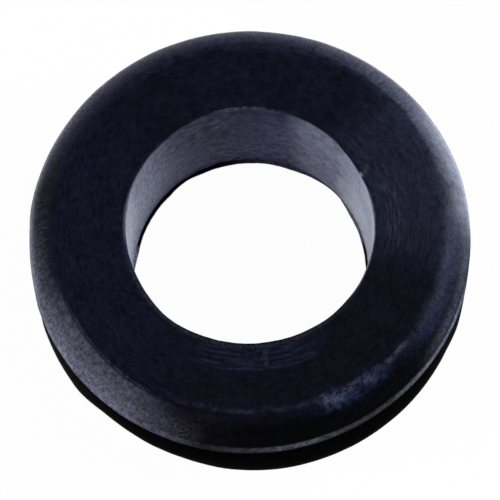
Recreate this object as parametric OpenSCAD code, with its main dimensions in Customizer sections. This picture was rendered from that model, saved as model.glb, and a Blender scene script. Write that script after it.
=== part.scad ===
// Rubber grommet: one moulded ring with a flange at each end, a plain bore through
// the middle, and a groove between the flanges that seats in a panel hole.
// Units are millimetres. The ring stands on one end face at z = 0, with its axis on Z.

/* [Bore and groove] */
// Diameter of the bore that a cable or tube passes through (5/8 inch)
bore_d = 15.875; // [13:0.025:18]
// Diameter of the groove's floor, which is the panel hole's size (7/8 inch)
groove_d = 22.225; // [20.5:0.025:24]
// Width of the groove, which is the panel's thickness (1/8 inch)
groove_w = 3.175; // [1.6:0.025:6.4]

/* [Flanges] */
// Diameter over the flanges at their widest circle (1-1/8 inch)
flange_d = 28.575; // [27:0.025:34]
// Thickness of each flange, from its end face to its groove wall (1/8 inch)
flange_t = 3.175; // [2.8:0.025:4.2]
// Radial width of the slope from the flat end face out to the widest circle
slope_w = 2; // [1.6:0.05:2.4]
// Radius of the slope's crown in section: larger makes the slope flatter
crown_r = 6; // [4:0.5:20]

/* [Edges] */
// Radius that blends the end face into the slope
shoulder_r = 0.7; // [0.3:0.05:1.2]
// Radius of the lip at the widest circle, from the slope down to the groove wall
lip_r = 0.8; // [0.3:0.05:1]
// Fillet radius where the groove wall meets the groove floor
root_r = 0.4; // [0.2:0.05:0.7]
// Radius of the two rims of the bore
rim_r = 0.2; // [0.1:0.05:0.6]

/* [Hidden] */

bore_r = bore_d / 2;
groove_r = groove_d / 2;
flange_r = flange_d / 2;
half_groove = groove_w / 2;
half_h = half_groove + flange_t;

// The crown arc sits this far inside the lip and shoulder arcs, so that it crosses
// them at a clear point instead of only touching them.
bite = 0.0005;

// Centres of the arcs of one flange's section, as (radius, height over groove wall).
// The crown arc encloses the other two and runs smoothly into both.
lip_c = [flange_r - lip_r, lip_r];
shoulder_c = [flange_r - slope_w, flange_t - shoulder_r];
crown_c = enclosing_centre(lip_c, lip_r, shoulder_c, shoulder_r, crown_r + bite);

// Centre of the circle of radius r that encloses and touches circles a and b, on the
// left of the way from a to b
function enclosing_centre(a, a_r, b, b_r, r) =
    let (
        gap = norm(b - a),
        ahead = (b - a) / gap,
        left = [-ahead[1], ahead[0]],
        along = (gap * gap + (r - a_r) * (r - a_r) - (r - b_r) * (r - b_r)) / (2 * gap),
        across = sqrt((r - a_r) * (r - a_r) - along * along)
    )
    a + along * ahead + across * left;

// Point well outside the crown arc, on its radius through c
function beyond(c) = crown_c + 2 * crown_r * (c - crown_c) / norm(c - crown_c);

// Square of side r at the origin, less a quarter circle about its far corner
module corner_web(r) {
    difference() {
        square(r);
        translate([r, r]) circle(r = r, $fn = 32);
    }
}

// Section of one flange without its rounded edge, up from the groove wall
module flange_core() {
    polygon([
        [bore_r, 0],
        [lip_c[0], 0],
        lip_c,
        shoulder_c,
        [shoulder_c[0], flange_t],
        [bore_r, flange_t]
    ]);
}

// Section of the flange's rounded edge: lip, shoulder and crowned slope
module flange_edge() {
    translate(lip_c) circle(r = lip_r, $fn = 32);
    translate(shoulder_c) circle(r = shoulder_r, $fn = 32);
    intersection() {
        translate(crown_c) circle(r = crown_r, $fn = 180);
        polygon([lip_c, beyond(lip_c), beyond(shoulder_c), shoulder_c]);
    }
}

// Half of the ring's section, from the middle of the groove up to the end face
module half_section() {
    difference() {
        union() {
            translate([bore_r, 0]) square([groove_r - bore_r, half_groove]);
            translate([groove_r, half_groove]) mirror([0, 1]) corner_web(root_r);
            translate([0, half_groove]) {
                flange_core();
                flange_edge();
            }
        }
        translate([bore_r, half_h]) mirror([0, 1]) corner_web(rim_r);
    }
}

module grommet() {
    color("#14161f")
        translate([0, 0, half_h])
            rotate_extrude($fn = 96)
                for (turned = [0, 1])
                    mirror([0, turned]) half_section();
}

grommet();
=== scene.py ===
import math

import bmesh
import bpy
from mathutils import Matrix, Vector


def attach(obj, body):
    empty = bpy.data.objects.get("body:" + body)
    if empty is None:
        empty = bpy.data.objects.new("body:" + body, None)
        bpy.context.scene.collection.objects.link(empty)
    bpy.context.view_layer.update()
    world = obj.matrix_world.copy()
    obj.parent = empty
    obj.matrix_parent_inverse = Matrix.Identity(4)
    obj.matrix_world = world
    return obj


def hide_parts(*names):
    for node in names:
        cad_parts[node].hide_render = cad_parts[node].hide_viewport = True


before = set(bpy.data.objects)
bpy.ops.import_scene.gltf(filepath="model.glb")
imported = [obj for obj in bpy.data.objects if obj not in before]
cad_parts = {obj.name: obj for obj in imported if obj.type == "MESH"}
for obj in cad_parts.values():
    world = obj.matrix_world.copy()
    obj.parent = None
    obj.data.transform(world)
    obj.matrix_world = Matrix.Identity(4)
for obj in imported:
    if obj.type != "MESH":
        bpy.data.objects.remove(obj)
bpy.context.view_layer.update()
scene = bpy.context.scene
mm = 0.001


def hexColour(code):
    # sRGB hex to linear RGBA
    parts = [int(code[i : i + 2], 16) / 255 for i in (1, 3, 5)]
    linear = [v / 12.92 if v <= 0.04045 else ((v + 0.055) / 1.055) ** 2.4 for v in parts]
    return (*linear, 1.0)


def addNode(tree, kind, settings=None, links=None):
    # settings: node properties by name, or input values by socket name or number
    # links: input socket name or number to the node or output that feeds it
    node = tree.nodes.new(kind)
    for key, value in (settings or {}).items():
        if isinstance(key, str) and hasattr(node, key):
            setattr(node, key, value)
        else:
            node.inputs[key].default_value = value
    for key, source in (links or {}).items():
        output = source.outputs[0] if isinstance(source, bpy.types.Node) else source
        tree.links.new(output, node.inputs[key])
    return node


def combine(tree, operation, sources):
    # one value from several, two at a time
    total = sources[0]
    for source in sources[1:]:
        total = addNode(tree, "ShaderNodeMath", {"operation": operation}, {0: total, 1: source})
    return total


def window(tree, source, edges):
    # 0 below the first edge, 1 between the two in the middle, 0 above the last; smoothstep keeps
    # within 0 and 1 by itself, so the clamp, which costs the renderer room in the shader, is off
    parts = []
    for start, end in ((edges[0], edges[1]), (edges[3], edges[2])):
        parts.append(
            addNode(
                tree,
                "ShaderNodeMapRange",
                {
                    "interpolation_type": "SMOOTHSTEP",
                    "clamp": False,
                    "From Min": start,
                    "From Max": end,
                },
                {0: source},
            )
        )
    return combine(tree, "MULTIPLY", parts)


def sector(tree, around, azimuth, core, reach):
    # 1 within core degrees of the azimuth, fading to 0 at reach degrees
    angle = math.radians(azimuth)
    towards = addNode(
        tree,
        "ShaderNodeVectorMath",
        {"operation": "DOT_PRODUCT", 1: (math.cos(angle), math.sin(angle), 0.0)},
        {0: around},
    ).outputs["Value"]
    return addNode(
        tree,
        "ShaderNodeMapRange",
        {
            "interpolation_type": "SMOOTHSTEP",
            "clamp": False,
            "From Min": math.cos(math.radians(reach)),
            "From Max": math.cos(math.radians(core)),
        },
        {0: towards},
    )


def ringPlace(tree, position):
    # radius, height and direction round the Z axis, in millimetres
    inMm = addNode(
        tree, "ShaderNodeVectorMath", {"operation": "SCALE", "Scale": 1 / mm}, {0: position}
    )
    flat = addNode(
        tree, "ShaderNodeVectorMath", {"operation": "MULTIPLY", 1: (1, 1, 0)}, {0: inMm}
    )
    return {
        "mm": inMm.outputs[0],
        "radius": addNode(
            tree, "ShaderNodeVectorMath", {"operation": "LENGTH"}, {0: flat}
        ).outputs["Value"],
        "around": addNode(
            tree, "ShaderNodeVectorMath", {"operation": "NORMALIZE"}, {0: flat}
        ).outputs[0],
        "height": addNode(tree, "ShaderNodeSeparateXYZ", None, {0: inMm}).outputs["Z"],
    }


ringSize = {  # millimetres, as the part is built
    "boreR": 7.9375,
    "grooveR": 11.1125,
    "grooveW": 3.175,
    "flangeR": 14.2875,
    "flangeT": 3.175,
    "slopeW": 2.0,
    "crownR": 6.0,
    "shoulderR": 0.7,
    "lipR": 0.8,
    "rootR": 0.4,
    "rimR": 0.2,
    "boreEnd": 0.7,  # where the bore's points lie closer, for the flash there
    "turnSteps": 336,
    "steps": {  # along each stretch of the half section
        "boreWall": 17,
        "boreEnd": 7,
        "rim": 5,
        "face": 42,
        "shoulder": 6,
        "slope": 16,
        "lip": 24,
        "grooveWall": 6,
        "root": 6,
        "grooveFloor": 4,
    },
    "waver": 0.012,  # how far the moulded skin wanders
    "waverScale": 0.22,  # swells per millimetre
    "flatFoot": (0.0, 0.5),  # heights between which that wander grows from nothing
    "raggedScale": 4.0,  # bites out of the flash, in one radian of the ring
    "raggedShare": (0.75, 1.1),  # its least and most share of the height
    "nick": 0.12,  # small cut in the upper rim of the bore
    "nickAt": (8.2, 23),  # radius and azimuth
    "nickWide": (0.1, 0.35),  # full depth within the first, gone at the second
}

outside = (20, 21)  # edges beyond the ring, for a window that stays open outwards or upwards
inside = (0, 1)  # and towards the axis
below = (-2, -1)  # and downwards

upperFlange = {"radius": (11.5, 13.8, *outside), "height": (4.7, 5.6, *outside)}
lowerFlange = {"radius": (11.5, 13.8, *outside), "height": (*below, 3.9, 4.7)}
boreFoot = {"radius": (*inside, 8.0, 8.3), "height": (*below, 0.34, 0.5)}
upperRim = {"radius": (*inside, 8.1, 8.5), "height": (8.6, 9.3, *outside)}
partingLine = {"radius": (13.5, 14.0, *outside), "height": (7.16, 7.27, 7.33, 7.44)}

# How far the skin stands out from the axis, in millimetres, and on which part. "at" is the middle
# azimuth, how far either side of it the fault is full, and where it is gone, in degrees
skinFaults = {
    "swellAllRound": {"out": 0.06, **upperFlange},
    "swellBack": {"out": 0.07, "at": (80, 30, 80), **upperFlange},
    "dipRight": {"out": -0.08, "at": (357, 4, 17), **upperFlange},
    "dipLeft": {"out": -0.12, "at": (184, 3, 14), **upperFlange},
    "swellLowerLeft": {"out": 0.13, "at": (206, 8, 20), **lowerFlange},
    "swellLowerRight": {"out": 0.12, "at": (346, 4, 15), **lowerFlange},
    "flatFront": {"out": -0.14, "at": (238, 6, 24), **lowerFlange},
    "swellFront": {"out": 0.06, "at": (303, 15, 45), **lowerFlange},
    "flash": {"out": 0.035, **partingLine},
    "flashAtFoot": {"out": -0.27, "at": (151, 14, 32), **boreFoot},
    "flashAtFootRight": {"out": -0.21, "at": (13, 9, 27), **boreFoot},
    "flashAtFootBack": {"out": -0.24, "at": (88, 16, 46), **boreFoot},
    "burrFront": {"out": -0.13, "at": (270, 14, 40), **upperRim},
    "burrLeft": {"out": -0.085, "at": (192, 10, 36), **upperRim},
    "burrRight": {"out": -0.07, "at": (30, 4, 14), **upperRim},
    "rimBack": {"out": 0.07, "at": (88, 20, 50), **upperRim},
    "rimRight": {"out": 0.06, "at": (341, 8, 24), **upperRim},
}


def arcPoints(centre, radius, fromDeg, toDeg, steps):
    angles = [math.radians(fromDeg + (toDeg - fromDeg) * i / steps) for i in range(steps + 1)]
    return [(centre[0] + radius * math.cos(a), centre[1] + radius * math.sin(a)) for a in angles]


def runPoints(start, end, steps):
    # inner points only: the arcs at both ends bring the end points
    return [
        (start[0] + (end[0] - start[0]) * i / steps, start[1] + (end[1] - start[1]) * i / steps)
        for i in range(1, steps)
    ]


def halfSection(size):
    # (radius, height over mid-groove), from the bore's middle up, over the face and down to the groove
    steps = size["steps"]
    half = size["grooveW"] / 2
    top = half + size["flangeT"]
    lip = Vector((size["flangeR"] - size["lipR"], half + size["lipR"]))
    shoulder = Vector((size["flangeR"] - size["slopeW"], top - size["shoulderR"]))
    gap = (shoulder - lip).length
    ahead = (shoulder - lip) / gap
    lipReach, shoulderReach = size["crownR"] - size["lipR"], size["crownR"] - size["shoulderR"]
    along = (gap**2 + lipReach**2 - shoulderReach**2) / (2 * gap)
    across = math.sqrt(lipReach**2 - along**2)
    crown = lip + along * ahead + across * Vector((-ahead.y, ahead.x))
    lipAngle = math.degrees(math.atan2(*(lip - crown).yx))
    shoulderAngle = math.degrees(math.atan2(*(shoulder - crown).yx))
    rim, root = size["rimR"], size["rootR"]
    endStart = (size["boreR"], top - size["boreEnd"])
    points = runPoints((size["boreR"], 0), endStart, steps["boreWall"]) + [endStart]
    points += runPoints(endStart, (size["boreR"], top - rim), steps["boreEnd"])
    points += arcPoints((size["boreR"] + rim, top - rim), rim, 180, 90, steps["rim"])
    points += runPoints((size["boreR"] + rim, top), (shoulder.x, top), steps["face"])
    points += arcPoints(shoulder, size["shoulderR"], 90, shoulderAngle, steps["shoulder"])
    points += arcPoints(crown, size["crownR"], shoulderAngle, lipAngle, steps["slope"])[1:-1]
    points += arcPoints(lip, size["lipR"], lipAngle, -90, steps["lip"])
    points += runPoints((lip.x, half), (size["grooveR"] + root, half), steps["grooveWall"])
    points += arcPoints((size["grooveR"] + root, half - root), root, 90, 180, steps["root"])
    points += runPoints((size["grooveR"], half - root), (size["grooveR"], 0), steps["grooveFloor"])
    return points


def sectionCurve(size):
    # closed outline in the XY plane: x is the radius less the path's radius, y the height
    upper = halfSection(size)
    loop = [(size["boreR"], 0.0)] + upper + [(size["grooveR"], 0.0)]
    loop += [(r, -z) for r, z in reversed(upper)]
    loop.reverse()  # turned this way round, the faces point outwards
    mesh = bpy.data.meshes.new("ringSection")
    vertices = [((r - size["flangeR"]) * mm, z * mm, 0.0) for r, z in loop]
    edges = [(i, (i + 1) % len(vertices)) for i in range(len(vertices))]
    mesh.from_pydata(vertices, edges, [])
    piece = bpy.data.objects.new("ringSection", mesh)
    scene.collection.objects.link(piece)
    return piece


noiseEnds = (0.3, 0.7)  # the values of a noise that give the skin's least and most


def turnTree(size, faults):
    # Turns a closed section round the Z axis, then gives the skin its small faults. The noises
    # depend on the place alone and nothing is drawn at random, so there is no seed to fix
    tree = bpy.data.node_groups.new("turnedRing", "GeometryNodeTree")
    face = tree.interface
    for name, kind in (
        ("Section", "Geometry"),
        ("Path Radius", "Float"),
        ("Lift", "Float"),
        ("Turn Steps", "Int"),
        ("Waver", "Float"),
        ("Faults", "Float"),
        ("Nick", "Float"),
        ("Material", "Material"),
    ):
        face.new_socket(name, in_out="INPUT", socket_type="NodeSocket" + kind)
    face.new_socket("Ring", in_out="OUTPUT", socket_type="NodeSocketGeometry")
    given = addNode(tree, "NodeGroupInput").outputs
    outline = addNode(tree, "GeometryNodeMeshToCurve", None, {0: given["Section"]})
    path = addNode(
        tree,
        "GeometryNodeCurvePrimitiveCircle",
        {"mode": "RADIUS"},
        {"Resolution": given["Turn Steps"], "Radius": given["Path Radius"]},
    )
    swept = addNode(
        tree,
        "GeometryNodeCurveToMesh",
        None,
        {"Curve": path.outputs["Curve"], "Profile Curve": outline.outputs[0]},
    )
    lift = addNode(tree, "ShaderNodeCombineXYZ", None, {"Z": given["Lift"]})
    raised = addNode(
        tree,
        "GeometryNodeTransform",
        None,
        {"Geometry": swept.outputs[0], "Translation": lift.outputs[0]},
    )
    place = ringPlace(tree, addNode(tree, "GeometryNodeInputPosition"))

    # the skin's slow swells, along the surface's own direction
    swell = addNode(
        tree, "ShaderNodeTexNoise", {"Scale": size["waverScale"], "Detail": 2.0}, {0: place["mm"]}
    )
    height = addNode(
        tree,
        "ShaderNodeMapRange",
        {"From Min": noiseEnds[0], "From Max": noiseEnds[1], "To Min": -1.0},
        {0: swell.outputs[0]},
    )
    offFloor = window(tree, place["height"], (*size["flatFoot"], *outside))
    height = combine(tree, "MULTIPLY", [height, given["Waver"], offFloor])
    outwards = addNode(tree, "GeometryNodeInputNormal")
    wandered = addNode(
        tree, "ShaderNodeVectorMath", {"operation": "SCALE"}, {0: outwards, "Scale": height}
    )

    # flash, burrs, flats and swells, with a slightly ragged edge
    ragged = addNode(
        tree,
        "ShaderNodeTexNoise",
        {"Scale": size["raggedScale"], "Detail": 3.0, "Roughness": 0.6},
        {0: place["around"]},
    )
    least, most = size["raggedShare"]
    ragged = addNode(
        tree,
        "ShaderNodeMapRange",
        {"From Min": noiseEnds[0], "From Max": noiseEnds[1], "To Min": least, "To Max": most},
        {0: ragged.outputs[0]},
    )
    standOffs = []
    for fault in faults.values():
        out = addNode(
            tree, "ShaderNodeMath", {"operation": "MULTIPLY", 1: fault["out"]}, {0: ragged}
        )
        parts = [out, *(window(tree, place[name], fault[name]) for name in ("radius", "height"))]
        if "at" in fault:
            parts.append(sector(tree, place["around"], *fault["at"]))
        standOffs.append(combine(tree, "MULTIPLY", parts))
    standOff = combine(tree, "MULTIPLY", [combine(tree, "ADD", standOffs), given["Faults"]])
    drawn = addNode(
        tree,
        "ShaderNodeVectorMath",
        {"operation": "SCALE"},
        {0: place["around"], "Scale": standOff},
    )

    # the nick in the upper rim
    nickR, angle = size["nickAt"][0], math.radians(size["nickAt"][1])
    top = 2 * size["flangeT"] + size["grooveW"]
    nickAt = (nickR * math.cos(angle), nickR * math.sin(angle), top)
    reach = addNode(
        tree, "ShaderNodeVectorMath", {"operation": "DISTANCE", 1: nickAt}, {0: place["mm"]}
    ).outputs["Value"]
    depth = addNode(
        tree,
        "ShaderNodeMapRange",
        {
            "interpolation_type": "SMOOTHSTEP",
            "From Min": size["nickWide"][0],
            "From Max": size["nickWide"][1],
            "To Min": -1.0,
            "To Max": 0.0,
        },
        {0: reach},
    )
    depth = combine(tree, "MULTIPLY", [depth, given["Nick"]])
    sunk = addNode(tree, "ShaderNodeCombineXYZ", None, {"Z": depth})

    shift = addNode(
        tree, "ShaderNodeVectorMath", {"operation": "ADD"}, {0: wandered, 1: drawn}
    )
    shift = addNode(tree, "ShaderNodeVectorMath", {"operation": "ADD"}, {0: shift, 1: sunk})
    shift = addNode(
        tree, "ShaderNodeVectorMath", {"operation": "SCALE", "Scale": mm}, {0: shift}
    )
    faulty = addNode(
        tree, "GeometryNodeSetPosition", None, {"Geometry": raised.outputs[0], "Offset": shift}
    )
    smooth = addNode(tree, "GeometryNodeSetShadeSmooth", None, {"Geometry": faulty.outputs[0]})
    real = addNode(tree, "GeometryNodeRealizeInstances", None, {"Geometry": smooth.outputs[0]})
    done = addNode(
        tree,
        "GeometryNodeSetMaterial",
        None,
        {"Geometry": real.outputs[0], "Material": given["Material"]},
    )
    addNode(tree, "NodeGroupOutput", None, {0: done.outputs[0]})
    return tree


def setInputs(modifier, values):
    for item in modifier.node_group.interface.items_tree:
        if item.item_type == "SOCKET" and item.in_out == "INPUT" and item.name in values:
            modifier[item.identifier] = values[item.name]


def makeRing(size, faults, material):
    section = sectionCurve(size)
    modifier = section.modifiers.new("turn", "NODES")
    modifier.node_group = turnTree(size, faults)
    setInputs(
        modifier,
        {
            "Path Radius": size["flangeR"] * mm,
            "Lift": (size["flangeT"] + size["grooveW"] / 2) * mm,
            "Turn Steps": size["turnSteps"],
            "Waver": size["waver"],
            "Faults": 1.0,  # 0 gives a ring without flash, burrs and swells
            "Nick": size["nick"],
            "Material": material,
        },
    )
    seen = section.evaluated_get(bpy.context.evaluated_depsgraph_get())
    mesh = bpy.data.meshes.new_from_object(seen)
    bpy.data.objects.remove(section)
    ring = bpy.data.objects.new("grommet_ring", mesh)
    scene.collection.objects.link(ring)
    return ring


rubberLook = {
    "black": "#020203",
    "films": {  # pale films over the black, laid one over the other in this order: wax, dust and rub marks, and painted highlights and sheen
        "veil": "#6578cb",  # bluish wax, the thinnest; it also tints painted sheen blue
        "violet": "#7a5f96",  # tints of the wax where it is thinner or thicker
        "teal": "#3f7f86",
        "haze": "#a4b0cc",  # dry grey-blue rub marks, and painted highlights on the right slope, the lip, the rim and the bore
        "bloom": "#b2b9d0",  # painted highlights on the right slope, the lip and the bore's two ends
        # the next film: pale dust, and painted sheen and highlights on the back slope and the lip
        "dust": "#aaa6bc",
        "smoke": "#a3a4c0",  # finer, bluer dust, and painted highlight on the left slope
        "chalk": "#d6dae6",  # the palest painted highlight, on the bore's ends and its rim
    },
    "wavy": (0.7, 0.35),  # wanders to the millimetre, and how far an edge strays, in mm
    "ragged": (4.0, 0.06),  # the same, for the finer edges
    "patternEnds": (0.35, 0.65),  # values of a noise between which a film goes from least to most
    "roughness": (0.46, 0.56),
    "frontRoughness": 0.3,  # added where the front of the ring is scuffed matt
    "frontAt": (275, 30, 75),
    "ior": 1.5,
    "specular": 0.03,
    "grainDepth": 0.004,  # both in millimetres
    "turnedDepth": 0.001,
}

overFoot = (0.45, 0.5)  # heights between which the films on the bore's wall set in, over the flash

zones = {  # windows on the radius or the height, in millimetres, that the patches name
    "face": (7.92, 8.04, 12.5, 13.4),
    "slope": (12.6, 14.35, *outside),
    "edge": (13.8, 14, *outside),
    "shoulder": (12.0, 12.5, 12.9, 13.4),
    "frontRings": (8.1, 8.4, 9.5, 9.75),
    "upper": (6.3, 6.9, *outside),
    "bore": (*inside, 7.99, 8.1),
    "boreLow": (*overFoot, 1.5, 9.5),
    "boreUnderRim": (*overFoot, 9.34, 9.5),
    "foot": (0, 0.1, 0.45, 0.55),
    "lipLine": (7.22, 7.43, 7.59, 7.77),
    "lipLineLow": (7.14, 7.34, 7.48, 7.66),
}
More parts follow.
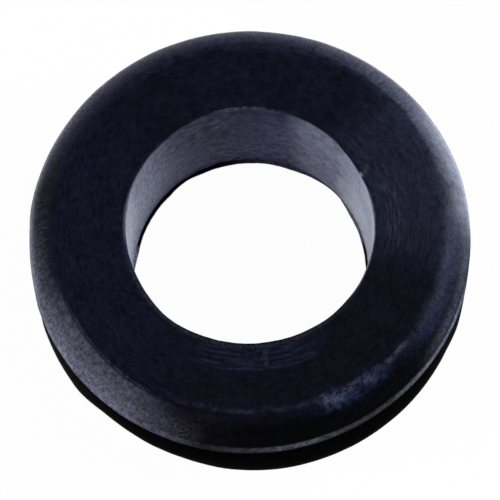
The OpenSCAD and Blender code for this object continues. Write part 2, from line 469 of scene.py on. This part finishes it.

# Some films are wax, dust, scuffs and the mould's marks; others are painted highlights and painted
# sheen, palest where the ring faces the two lamps.
# Where each film lies. "cover" is the share of the black that it hides, and a noise pattern takes
# that up and down by the contrast. "at" is as for the faults, and a patch without it goes all
# round. Its radii are taken straight, or with edges that stray slowly (wavy) or finely (ragged).
# A patch without heights lies on everything above the lower flange.
coverPatches = {
    # the flat face, with painted sheen on its right
    "faceVeil": {
        "film": "veil", "cover": 0.0059, "radius": "face", "pattern": "skin", "contrast": 0.6,
    },
    "faceViolet": {
        "film": "violet", "cover": 0.005, "radius": "face", "pattern": "mottle", "contrast": 2,
    },
    "faceTeal": {
        "film": "teal", "cover": 0.0042, "radius": "face", "pattern": "cloud", "contrast": 2,
    },
    "faceDust": {
        "film": "dust", "cover": 0.003, "radius": "face", "pattern": "grain", "contrast": 1,
    },
    "faceTurned": {
        "film": "veil", "cover": 0.002, "radius": "face", "pattern": "marks", "contrast": 1.8,
    },
    "faceVioletBack": {
        "film": "violet", "cover": 0.003, "at": (100, 90, 180), "radius": "face",
        "pattern": "cloud", "contrast": 1,
    },
    "faceVeilBack": {
        "film": "veil", "cover": 0.0055, "at": (70, 26, 54), "radius": "face",
        "pattern": "cloud", "contrast": 0.5,
    },
    "faceVeilLeft": {
        "film": "veil", "cover": 0.0094, "at": (186, 24, 68), "radius": "face",
        "pattern": "skin", "contrast": 0.8,
    },
    # painted sheen: the face made paler towards the right lamp, over real turning marks
    "faceSheenRight": {
        "film": "veil", "cover": 0.0158, "at": (15, 9, 40), "radius": "face", "pattern": "skin",
        "contrast": 0.6,
    },
    "faceMarksAndSheenRight": {
        "film": "haze", "cover": 0.012, "at": (14, 8, 38), "radius": (8, 8.3, 12, 12.9),
        "pattern": "marks", "contrast": 0.7,
    },
    "faceOutRight": {
        "film": "haze", "cover": 0.0062, "at": (14, 10, 34), "radius": (10.6, 11.4, 12.4, 12.9),
        "pattern": "flake", "contrast": 1.2,
    },
    "faceMarksRight": {
        "film": "haze", "cover": 0.009, "at": (3, 4, 20), "radius": (8.6, 8.9, 9.7, 10.2),
        "pattern": "marks", "contrast": 2.2,
    },
    "faceGrainRight": {
        "film": "haze", "cover": 0.003, "at": (12, 12, 40), "radius": "face", "pattern": "speck",
        "contrast": 2,
    },
    # rings that the mould's turning left on the front of the face, and a scratch across them
    "ringsAtFront": {
        "film": "veil", "cover": 0.007, "at": (271, 10, 34), "radius": "frontRings",
        "pattern": "rings", "contrast": 2.6,
    },
    "ringsPale": {
        "film": "haze", "cover": 0.003, "at": (270, 8, 28), "radius": "frontRings",
        "pattern": "rings", "contrast": 3,
    },
    "ringsWorn": {
        "film": "veil", "cover": 0.0052, "at": (272, 8, 34), "radius": "frontRings",
        "pattern": "mottle", "contrast": 1.8,
    },
    "lastRing": {
        "film": "veil", "cover": 0.013, "at": (270, 8, 30), "radius": (9.48, 9.56, 9.62, 9.7),
        "pattern": "flake", "contrast": 2.2,
    },
    "scratch": {
        "film": "haze", "cover": 0.014, "at": (274.5, 0.1, 1.4), "radius": (8.1, 8.3, 9.3, 9.6),
        "pattern": "speck", "contrast": 1.4,
    },
    # the shoulder and its scuffs, and a painted highlight along its edge on the left
    "shoulderVeil": {
        "film": "veil", "cover": 0.0042, "at": (52, 40, 110), "wavy": "shoulder",
        "pattern": "flake", "contrast": 1,
    },
    "shoulderHaze": {
        "film": "haze", "cover": 0.0125, "at": (64, 50, 112), "wavy": "shoulder",
        "pattern": "flake", "contrast": 1.5,
    },
    "shoulderHazeRight": {
        "film": "haze", "cover": 0.0105, "at": (344, 12, 30), "wavy": "shoulder",
        "pattern": "flake", "contrast": 1.5,
    },
    "shoulderLineLeft": {
        "film": "haze", "cover": 0.034, "at": (220, 13, 20),
        "radius": (12.48, 12.55, 12.58, 12.66), "pattern": "speck", "contrast": 1.2,
    },
    "scuffFront": {
        "film": "haze", "cover": 0.011, "at": (268, 14, 30), "wavy": (12.05, 12.2, 12.3, 12.5),
        "pattern": "flake", "contrast": 2.4,
    },
    "scuffVeil": {
        "film": "veil", "cover": 0.014, "at": (274, 22, 36), "wavy": (11.9, 12.2, 12.3, 12.5),
        "pattern": "flake", "contrast": 1.9,
    },
    "scuffVeilRight": {
        "film": "veil", "cover": 0.006, "at": (308, 9, 30), "wavy": (12.2, 12.5, 12.8, 13.2),
        "pattern": "flake", "contrast": 2.2,
    },
    "scuffFrontRight": {
        "film": "haze", "cover": 0.037, "at": (298, 4, 12), "wavy": (12.1, 12.4, 12.6, 13),
        "pattern": "flake", "contrast": 2.7,
    },
    "scuffCloudRight": {
        "film": "veil", "cover": 0.033, "at": (299, 5, 15), "wavy": (12, 12.4, 12.8, 13.45),
        "pattern": "mottle", "contrast": 2.4,
    },
    "scuffStreak": {
        "film": "haze", "cover": 0.042, "at": (291.3, 0.6, 2.6),
        "wavy": (12.3, 12.5, 12.95, 13.3), "pattern": "speck", "contrast": 1.4,
    },
    "scuffRight": {
        "film": "haze", "cover": 0.054, "at": (315, 1.2, 6.4),
        "wavy": (12.38, 12.56, 12.7, 12.9), "pattern": "speck", "contrast": 1.2,
    },
    # the slope, from the back round by the right: painted sheen at the back, painted highlights where
    # it faces the two lamps, and real grain and specks between
    # painted sheen on the back slope, tinted blue, with some dust in it
    "slopeBlueSheen": {
        "film": "veil", "cover": 0.06, "at": (88, 46, 82), "radius": (12.2, 13.8, *outside),
        "pattern": "rays", "contrast": 0.35,
    },
    "slopeDustAndSheenBack": {
        "film": "dust", "cover": 0.165, "at": (96, 42, 71), "radius": (12.9, 14.4, *outside),
        "pattern": "fleck", "contrast": 0.9,
    },
    "slopeRaysBack": {
        "film": "dust", "cover": 0.008, "at": (88, 50, 92), "radius": (12.5, 13.3, *outside),
        "pattern": "rays", "contrast": 2,
    },
    "slopeFans": {
        "film": "veil", "cover": 0.013, "at": (80, 24, 64), "radius": (12.5, 13.3, *outside),
        "pattern": "fans", "contrast": 2,
    },
    # painted highlight on the right slope, where it faces the right lamp, with some real grain in it
    "slopeHighlightRight": {
        "film": "haze", "cover": 0.12, "at": (17, 8, 36), "wavy": "slope", "pattern": "flake",
        "contrast": 0.6,
    },
    "slopeHighlightPeak": {
        "film": "bloom", "cover": 0.49, "at": (17, 2, 23), "wavy": "slope", "pattern": "flake",
        "contrast": 0.4,
    },
    "slopeHighlightInner": {
        "film": "haze", "cover": 0.036, "at": (34, 8, 26), "wavy": (12.7, 12.95, 13.3, 14.2),
        "pattern": "rays", "contrast": 0.6,
    },
    "slopeGrainAndHighlightRight": {
        "film": "haze", "cover": 0.03, "at": (26, 14, 46), "wavy": (12.5, 12.9, 13.6, 14.3),
        "pattern": "speck", "contrast": 1.1,
    },
    "slopeRaysRight": {
        "film": "haze", "cover": 0.011, "at": (46, 10, 34), "wavy": (12.5, 13, *outside),
        "pattern": "rays", "contrast": 1.6,
    },
    # the painted highlight fading out round the front right, tinted blue
    "slopeBlueRight": {
        "film": "veil", "cover": 0.042, "at": (340, 6, 27), "wavy": (12.4, 12.85, 13.25, 13.75),
        "pattern": "fleck", "contrast": 0.9,
    },
    "slopeSheenRight": {
        "film": "haze", "cover": 0.015, "at": (345, 6, 24), "wavy": (12.4, 12.8, *outside),
        "pattern": "speck", "contrast": 1,
    },
    "slopeSheenOutRight": {
        "film": "veil", "cover": 0.014, "at": (350, 8, 32), "radius": (13, 13.6, *outside),
        "pattern": "flake", "contrast": 1,
    },
    "slopeOutRight": {
        "film": "haze", "cover": 0.068, "at": (339, 7, 23), "radius": (13.6, 14, 14.1, 14.22),
        "pattern": "fleck", "contrast": 0.8,
    },
    "frontSpecksRight": {
        "film": "veil", "cover": 0.0016, "at": (312, 8, 30), "radius": (12.6, 13, 13.9, 14.1),
        "pattern": "fleck", "contrast": 4,
    },
    "frontSpecks": {
        "film": "veil", "cover": 0.0008, "at": (285, 30, 56), "radius": (12.7, 13.1, 13.9, 14.1),
        "pattern": "fleck", "contrast": 9,
    },
    "slopeSpecksFrontLeft": {
        "film": "violet", "cover": 0.014, "at": (240, 8, 28), "wavy": (12.5, 12.9, *outside),
        "pattern": "flake", "contrast": 1.6,
    },
    # this and the next patches: dust, and a painted highlight on the left slope where it faces the
    # left lamp
    "slopeOutFrontLeft": {
        "film": "smoke", "cover": 0.06, "at": (238, 6, 19), "radius": (12.9, 13.9, *outside),
        "pattern": "fleck", "contrast": 1,
    },
    "slopeDustAndHighlightFrontLeft": {
        "film": "smoke", "cover": 0.108, "at": (220, 8, 29), "ragged": (12.6, 12.86, *outside),
        "pattern": "speck", "contrast": 0.62,
    },
    "slopeDustAndHighlightInner": {
        "film": "smoke", "cover": 0.03, "at": (221, 9, 20), "ragged": (12.62, 12.8, 13.2, 13.6),
        "pattern": "speck", "contrast": 0.9,
    },
    "slopeDustAndHighlightLeft": {
        "film": "smoke", "cover": 0.122, "at": (206, 12, 34), "wavy": (12.85, 14.2, *outside),
        "pattern": "fleck", "contrast": 0.95,
    },
    "slopeOutLeft": {
        "film": "smoke", "cover": 0.028, "at": (207, 12, 26),
        "radius": (13.7, 13.95, 14.1, 14.2), "pattern": "fleck", "contrast": 1,
    },
    "fringeLeft": {
        "film": "smoke", "cover": 0.015, "at": (190, 12, 27),
        "ragged": (12.75, 13.1, 13.7, 14.2), "pattern": "rays", "contrast": 2.2,
    },
    "slopeVeilLeft": {
        "film": "veil", "cover": 0.01, "at": (182, 8, 26), "wavy": (13, 13.25, 13.7, 14.1),
        "pattern": "skin", "contrast": 1,
    },
    "slopeOutBackLeft": {
        "film": "smoke", "cover": 0.115, "at": (166, 10, 32), "radius": (13.6, 14.3, *outside),
        "pattern": "fleck", "contrast": 0.8,
    },
    # the widest edge and the line along its lip: painted highlights, and painted sheen at the back
    "edgeLeft": {
        "film": "dust", "cover": 0.27, "at": (183, 4, 15), "radius": (13.8, 14.25, *outside),
        "pattern": "flake", "contrast": 0.4,
    },
    "lipBack": {
        "film": "dust", "cover": 0.26, "at": (96, 68, 100), "radius": (14.05, 14.2, *outside),
        "pattern": "speck", "contrast": 0.9,
    },
    "lipPaleRight": {
        "film": "bloom", "cover": 0.265, "at": (16, 5, 26), "radius": (14, 14.2, *outside),
        "pattern": "cloud", "contrast": 0.3,
    },
    "lipLine": {
        "film": "dust", "cover": 0.1, "at": (291, 18, 40), "radius": "edge",
        "height": "lipLine", "pattern": "speck", "contrast": 0.6,
    },
    "lipLineMid": {
        "film": "haze", "cover": 0.1, "at": (281, 3, 11), "radius": "edge",
        "height": "lipLine", "pattern": "speck", "contrast": 0.8,
    },
    "lipLineLeft": {
        "film": "haze", "cover": 0.068, "at": (228, 14, 30), "radius": "edge",
        "height": "lipLine", "pattern": "speck", "contrast": 0.9,
    },
    "lipLineFarLeft": {
        "film": "haze", "cover": 0.14, "at": (203, 5, 16), "radius": "edge",
        "height": "lipLine", "pattern": "speck", "contrast": 0.7,
    },
    "lipLineRight": {
        "film": "haze", "cover": 0.26, "at": (326, 7, 21), "radius": "edge",
        "height": "lipLineLow", "pattern": "speck", "contrast": 0.5,
    },
    # the bore's upper rim and the nick in it
    # painted highlight on the rim's edge at the back
    "rimHighlight": {
        "film": "chalk", "cover": 0.05, "at": (93, 4, 14), "ragged": (7.98, 8.04, 8.1, 8.18),
        "height": (9.3, 9.4, *outside), "pattern": "speck", "contrast": 1.2,
    },
    "rimBack": {
        "film": "dust", "cover": 0.045, "at": (90, 10, 28), "ragged": (7.8, 7.9, 8.06, 8.16),
        "height": (9.1, 9.35, *outside), "pattern": "fleck", "contrast": 1.2,
    },
    "rimFront": {
        "film": "haze", "cover": 0.026, "at": (256, 44, 84), "ragged": (7.88, 7.98, 8.1, 8.3),
        "height": (9.3, 9.4, *outside), "pattern": "fleck", "contrast": 0.8,
    },
    # painted highlights on the rim at the right and, tinted blue, at the left
    "rimPaleRight": {
        "film": "haze", "cover": 0.22, "at": (347, 14, 30), "ragged": (*inside, 8.03, 8.14),
        "height": (9.2, 9.34, *outside), "pattern": "fleck", "contrast": 0.4,
    },
    "rimBlueLeft": {
        "film": "veil", "cover": 0.03, "at": (184, 16, 36), "ragged": (7.8, 7.86, 8.02, 8.12),
        "height": (9.2, 9.34, *outside), "pattern": "fleck", "contrast": 0.5,
    },
    "nickWorn": {
        "film": "haze", "cover": 0.05, "at": (22.6, 0.3, 1.9), "ragged": (8, 8.1, 8.3, 8.5),
        "pattern": "speck", "contrast": 0.5,
    },
    "nickWornOut": {
        "film": "haze", "cover": 0.034, "at": (24.4, 0.3, 1.9), "ragged": (8.2, 8.32, 8.5, 8.8),
        "pattern": "speck", "contrast": 0.5,
    },
    # the bore's wall: mottled wax and dust, and painted highlights that make its two ends, seen at a
    # grazing angle towards the lamps, the palest places
    "boreVeil": {
        "film": "veil", "cover": 0.085, "ragged": "bore", "height": "boreUnderRim",
        "pattern": "blotch", "contrast": 0.7,
    },
    "boreViolet": {
        "film": "violet", "cover": 0.045, "ragged": "bore", "height": "boreUnderRim",
        "pattern": "streaks", "contrast": 2,
    },
    "boreStreaks": {
        "film": "smoke", "cover": 0.05, "at": (95, 45, 90), "ragged": "bore",
        "height": "boreLow", "pattern": "streaks", "contrast": 2.4,
    },
    "boreGrain": {
        "film": "dust", "cover": 0.075, "ragged": "bore", "height": "boreLow", "pattern": "pits",
        "contrast": 1.1,
    },
    "boreVeilLow": {
        "film": "veil", "cover": 0.11, "at": (112, 18, 56), "ragged": "bore",
        "height": "boreLow", "pattern": "blotch", "contrast": 0.9,
    },
    "boreBackLow": {
        "film": "smoke", "cover": 0.14, "at": (112, 12, 38), "ragged": "bore",
        "height": (*overFoot, 2, 5), "pattern": "streaks", "contrast": 1.2,
    },
    "boreLeft": {
        "film": "bloom", "cover": 0.39, "at": (168, 8, 44), "ragged": "bore",
        "height": "boreUnderRim", "pattern": "pits", "contrast": 0.35,
    },
    "boreLeftLow": {
        "film": "bloom", "cover": 0.53, "at": (160, 12, 60), "ragged": "bore",
        "height": (*overFoot, 2, 8), "pattern": "pits", "contrast": 0.35,
    },
    "boreLeftPale": {
        "film": "chalk", "cover": 0.3, "at": (172, 4, 16), "ragged": "bore",
        "height": (2, 4, 7.5, 10.5), "pattern": "cloud", "contrast": 0.2,
    },
    "boreLeftFar": {
        "film": "smoke", "cover": 0.1, "at": (122, 10, 34), "ragged": "bore",
        "height": "boreUnderRim", "pattern": "streaks", "contrast": 1,
    },
    "boreRight": {
        "film": "bloom", "cover": 0.62, "at": (2, 4, 42), "ragged": (*inside, 8, 8.1),
        "height": "boreUnderRim", "pattern": "pits", "contrast": 0.25,
    },
    "boreRightTop": {
        "film": "chalk", "cover": 0.2, "at": (2, 8, 26), "ragged": (*inside, 8, 8.1),
        "height": (6.5, 8.5, 9.34, 9.5), "pattern": "flake", "contrast": 0.3,
    },
    "boreRightPale": {
        "film": "haze", "cover": 0.64, "at": (350, 6, 18), "ragged": (*inside, 8, 8.1),
        "height": (4.5, 7, 9.34, 9.5), "pattern": "cloud", "contrast": 0.2,
    },
    "boreRightMid": {
        "film": "chalk", "cover": 0.12, "at": (10, 8, 26), "ragged": "bore",
        "height": (3, 4.5, 6.5, 8), "pattern": "flake", "contrast": 0.3,
    },
    "boreRightLow": {
        "film": "chalk", "cover": 0.85, "at": (10, 9, 34), "ragged": "bore",
        "height": (*overFoot, 1.5, 6.5), "pattern": "blotch", "contrast": 0.4,
    },
    "boreRightFar": {
        "film": "bloom", "cover": 0.28, "at": (47, 5, 25), "ragged": "bore",
        "height": "boreUnderRim", "pattern": "blotch", "contrast": 0.55,
    },
    "boreRightFarLow": {
        "film": "bloom", "cover": 0.09, "at": (48, 7, 22), "ragged": "bore",
        "height": (*overFoot, 2.5, 5), "pattern": "blotch", "contrast": 0.4,
    },
    # the flash at the bore's foot
    "footBack": {
        "film": "smoke", "cover": 0.2, "at": (68, 14, 38), "ragged": "bore",
        "height": "foot", "pattern": "fleck", "contrast": 1,
    },
    "footLeft": {
        "film": "dust", "cover": 0.55, "at": (178, 9, 14), "ragged": "bore",
        "height": "foot", "pattern": "fleck", "contrast": 0.4,
    },
    "footRight": {
        "film": "smoke", "cover": 0.42, "at": (26, 10, 18), "ragged": "bore",
        "height": "foot", "pattern": "fleck", "contrast": 0.6,
    },
}

# Noise: how many to the millimetre, octaves, roughness. The real skin's own grain is about 0.02 mm,
# too fine to show at this size, so its bump is drawn about seven times coarser.
patternScales = {
    "grain": {"Scale": 7.0, "Detail": 3.0, "Roughness": 0.7},
    "speck": {"Scale": 3.2, "Detail": 3.0, "Roughness": 0.7},
    "cloud": {"Scale": 1.3, "Detail": 4.0, "Roughness": 0.65},
    "blotch": {"Scale": 1.1, "Detail": 5.0, "Roughness": 0.8},
    "mottle": {"Scale": 2.3, "Detail": 4.0, "Roughness": 0.8},
    "flake": {"Scale": 2.0, "Detail": 5.0, "Roughness": 0.85},
    "fleck": {"Scale": 5.0, "Detail": 2.0, "Roughness": 0.9},
}
# Noise that follows the ring: swells in one radian round it, and to the millimetre across it. The
# first four run round, like the marks of the mould's turning, and the last three run across.
turnedScales = {
    "marks": (9.0, 7.0),
    "rings": (6.0, 6.0),
    "skin": (22.0, 5.5),
    "streaks": (14.0, 2.6),
    "rays": (85.0, 0.9),
    "fans": (24.0, 0.6),  # broad soft rays, where the rubber flowed outwards
    "pits": (40.0, 1.6),  # the bore's own grain, drawn out by the core as it was pulled
}


def turnedNoise(tree, place, around, perMm):
    # across goes outwards on the face and downwards in the bore
    across = addNode(
        tree,
        "ShaderNodeMath",
        {"operation": "SUBTRACT"},
        {0: place["radius"], 1: place["height"]},
    )
    step = addNode(tree, "ShaderNodeMath", {"operation": "MULTIPLY", 1: perMm}, {0: across})
    step = addNode(tree, "ShaderNodeCombineXYZ", None, {"Z": step})
    turned = addNode(
        tree,
        "ShaderNodeVectorMath",
        {"operation": "MULTIPLY_ADD", 1: (around, around, around)},
        {0: place["around"], 2: step},
    )
    return addNode(
        tree, "ShaderNodeTexNoise", {"Scale": 1.0, "Detail": 2.0, "Roughness": 0.6}, {0: turned}
    )


def strayedRadius(tree, place, perMm, stray):
    # the radius with a wander, for films whose edges don't run true
    wander = addNode(tree, "ShaderNodeTexNoise", {"Scale": perMm, "Detail": 3.0}, {0: place["mm"]})
    wander = addNode(
        tree,
        "ShaderNodeMapRange",
        {"clamp": False, "To Min": -stray, "To Max": stray},
        {0: wander.outputs[0]},
    )
    return combine(tree, "ADD", [place["radius"], wander])


def mouldedRubber(look, patches):
    # Black chloroprene rubber, compression moulded and trimmed: near black, with a soft grazing
    # sheen, a bluish film of wax, pale dust in its grain, and the fine rings of the mould's turning.
    # Pale films also paint highlights and sheen where the ring faces the two lamps, and at the bore's
    # ends
    material = bpy.data.materials.new("mouldedBlackRubber")
    material.use_nodes = True
    tree = material.node_tree
    shader = tree.nodes["Principled BSDF"]
    place = ringPlace(tree, addNode(tree, "ShaderNodeTexCoord").outputs["Object"])
    for name in ("wavy", "ragged"):
        place[name] = strayedRadius(tree, place, *look[name])
    patterns = {
        name: addNode(tree, "ShaderNodeTexNoise", scales, {0: place["mm"]}).outputs[0]
        for name, scales in patternScales.items()
    }
    for name, scales in turnedScales.items():
        patterns[name] = turnedNoise(tree, place, *scales).outputs[0]
    least, most = look["patternEnds"]
    covers = {}
    for patch in patches.values():
        low, high = [patch["cover"] * (1 + way * patch["contrast"]) for way in (-1, 1)]
        parts = [
            addNode(
                tree,
                "ShaderNodeMapRange",
                {"clamp": False, "From Min": least, "From Max": most, "To Min": low, "To Max": high},
                {0: patterns[patch["pattern"]]},
            )
        ]
        where = {"height": "upper", **patch}
        for name in ("radius", "wavy", "ragged", "height"):
            if name in where:
                edges = zones[where[name]] if isinstance(where[name], str) else where[name]
                parts.append(window(tree, place[name], edges))
        if "at" in patch:
            parts.append(sector(tree, place["around"], *patch["at"]))
        share = combine(tree, "MULTIPLY", parts)
        share = addNode(tree, "ShaderNodeMath", {"operation": "MAXIMUM", 1: 0.0}, {0: share})
        # added up at once, because the renderer can hold only so many values side by side
        film = patch["film"]
        covers[film] = combine(tree, "ADD", [covers[film], share] if film in covers else [share])
    colour = None
    for name, film in look["films"].items():
        colour = addNode(
            tree,
            "ShaderNodeMix",
            {"data_type": "RGBA", 6: hexColour(look["black"]), 7: hexColour(film)},
            {0: covers[name], **({6: colour} if colour else {})},
        ).outputs[2]
    tree.links.new(colour, shader.inputs["Base Color"])
    rough = addNode(
        tree,
        "ShaderNodeMapRange",
        {
            "From Min": least,
            "From Max": most,
            "To Min": look["roughness"][0],
            "To Max": look["roughness"][1],
        },
        {0: patterns["speck"]},
    )
    atFront = sector(tree, place["around"], *look["frontAt"])
    matt = addNode(
        tree,
        "ShaderNodeMath",
        {"operation": "MULTIPLY_ADD", 1: look["frontRoughness"]},
        {0: atFront, 2: rough},
    )
    tree.links.new(matt.outputs[0], shader.inputs["Roughness"])
    normal = None
    for name, depth in (("grain", look["grainDepth"]), ("marks", look["turnedDepth"])):
        normal = addNode(
            tree,
            "ShaderNodeBump",
            {"Strength": 1.0, "Distance": depth * mm},
            {"Height": patterns[name], **({"Normal": normal} if normal else {})},
        )
    tree.links.new(normal.outputs[0], shader.inputs["Normal"])
    shader.inputs["IOR"].default_value = look["ior"]
    shader.inputs["Specular IOR Level"].default_value = look["specular"]
    return material


rubber = mouldedRubber(rubberLook, coverPatches)
print("rubber:", len(coverPatches), "patches in", len(rubberLook["films"]), "films")
ring = makeRing(ringSize, skinFaults, rubber)
work = bmesh.new()
work.from_mesh(ring.data)
volume = work.calc_volume(signed=True) / mm**3
print("ring:", len(ring.data.polygons), "faces,", round(volume, 1), "mm3")
work.free()
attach(ring, "root")
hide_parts("grommet")

studio = {
    "floorSide": 4.0,  # metres
    "floorDrop": 0.02,  # millimetres, so that it doesn't touch the ring's underside
    "floorColour": "#fafafa",
    "floorRoughness": 0.9,
    "whiteShare": 0.972,  # of the floor as it is seen; the rest shows the ring's soft shadow
    "worldColour": "#ffffff",
    "worldStrength": 0.1,
    "lampAim": (0, 0, 5),  # millimetres
}


def makeFloor(setup):
    side = setup["floorSide"] / 2
    mesh = bpy.data.meshes.new("floor")
    mesh.from_pydata(
        [(-side, -side, 0), (side, -side, 0), (side, side, 0), (-side, side, 0)], [], [(0, 1, 2, 3)]
    )
    # Matt white paper: it is seen as an even white, and still takes the ring's soft shadow
    material = bpy.data.materials.new("palePaper")
    material.use_nodes = True
    tree = material.node_tree
    shader = tree.nodes["Principled BSDF"]
    shader.inputs["Base Color"].default_value = hexColour(setup["floorColour"])
    shader.inputs["Roughness"].default_value = setup["floorRoughness"]
    shader.inputs["Specular IOR Level"].default_value = 0.0
    rays = addNode(tree, "ShaderNodeLightPath").outputs
    seen = addNode(
        tree,
        "ShaderNodeMath",
        {"operation": "MAXIMUM"},
        {0: rays["Is Camera Ray"], 1: rays["Is Glossy Ray"]},
    )
    seen = addNode(
        tree, "ShaderNodeMath", {"operation": "MAXIMUM"}, {0: seen, 1: rays["Is Transmission Ray"]}
    )
    share = addNode(
        tree, "ShaderNodeMath", {"operation": "MULTIPLY", 1: setup["whiteShare"]}, {0: seen}
    )
    white = addNode(tree, "ShaderNodeEmission", {"Strength": 1.0})
    mixed = addNode(tree, "ShaderNodeMixShader", None, {0: share, 1: shader, 2: white})
    tree.links.new(mixed.outputs[0], tree.nodes["Material Output"].inputs["Surface"])
    mesh.materials.append(material)
    floor = bpy.data.objects.new("floor", mesh)
    floor.location.z = -setup["floorDrop"] * mm
    scene.collection.objects.link(floor)


def makeWorld(setup):
    world = bpy.data.worlds.new("studio")
    world.use_nodes = True
    back = world.node_tree.nodes["Background"]
    back.inputs["Color"].default_value = hexColour(setup["worldColour"])
    back.inputs["Strength"].default_value = setup["worldStrength"]
    scene.world = world


lamps = {  # angles in degrees, lengths in metres
    "keyRight": {"azimuth": 15, "elevation": 27, "away": 0.45, "wide": 0.35, "watts": 2.2},
    "fillLeft": {"azimuth": 203, "elevation": 27, "away": 0.45, "wide": 0.35, "watts": 1.8},
}


def makeLamp(name, setup, aim):
    around, up = math.radians(setup["azimuth"]), math.radians(setup["elevation"])
    flat = math.cos(up)
    towards = Vector((math.cos(around) * flat, math.sin(around) * flat, math.sin(up)))
    data = bpy.data.lights.new(name, "AREA")
    data.shape = "DISK"
    data.size = setup["wide"]
    data.energy = setup["watts"]
    lamp = bpy.data.objects.new(name, data)
    lamp.location = aim + towards * setup["away"]
    lamp.rotation_euler = towards.to_track_quat("Z", "Y").to_euler()
    scene.collection.objects.link(lamp)


view = {  # degrees and metres, but the lens and its sensor in millimetres
    "elevation": 71.5,
    "roll": 2.6,
    "away": 0.1552,
    "lens": 171.5,
    "sensor": 36,
    "clip": (0.01, 20),
    "aimX": 0.0,
    "aimY": -0.0005,
    "aimZ": 0.006,
}


def makeCamera(setup):
    up = math.radians(setup["elevation"])
    back = Vector((0, -math.cos(up), math.sin(up)))
    data = bpy.data.cameras.new("camera")
    data.lens = setup["lens"]
    data.sensor_width = setup["sensor"]
    data.clip_start, data.clip_end = setup["clip"]
    camera = bpy.data.objects.new("camera", data)
    camera.location = Vector((setup["aimX"], setup["aimY"], setup["aimZ"])) + back * setup["away"]
    roll = Matrix.Rotation(math.radians(-setup["roll"]), 3, "Z")
    camera.rotation_euler = (back.to_track_quat("Z", "Y").to_matrix() @ roll).to_euler()
    scene.collection.objects.link(camera)
    scene.camera = camera


makeFloor(studio)
makeWorld(studio)
for name, settings in lamps.items():
    makeLamp(name, settings, Vector(studio["lampAim"]) * mm)
print("studio: floor, world and", len(lamps), "lamps")
makeCamera(view)
scene.view_settings.view_transform = "Standard"
print("camera:", view["lens"], "mm lens,", view["elevation"], "degrees up")
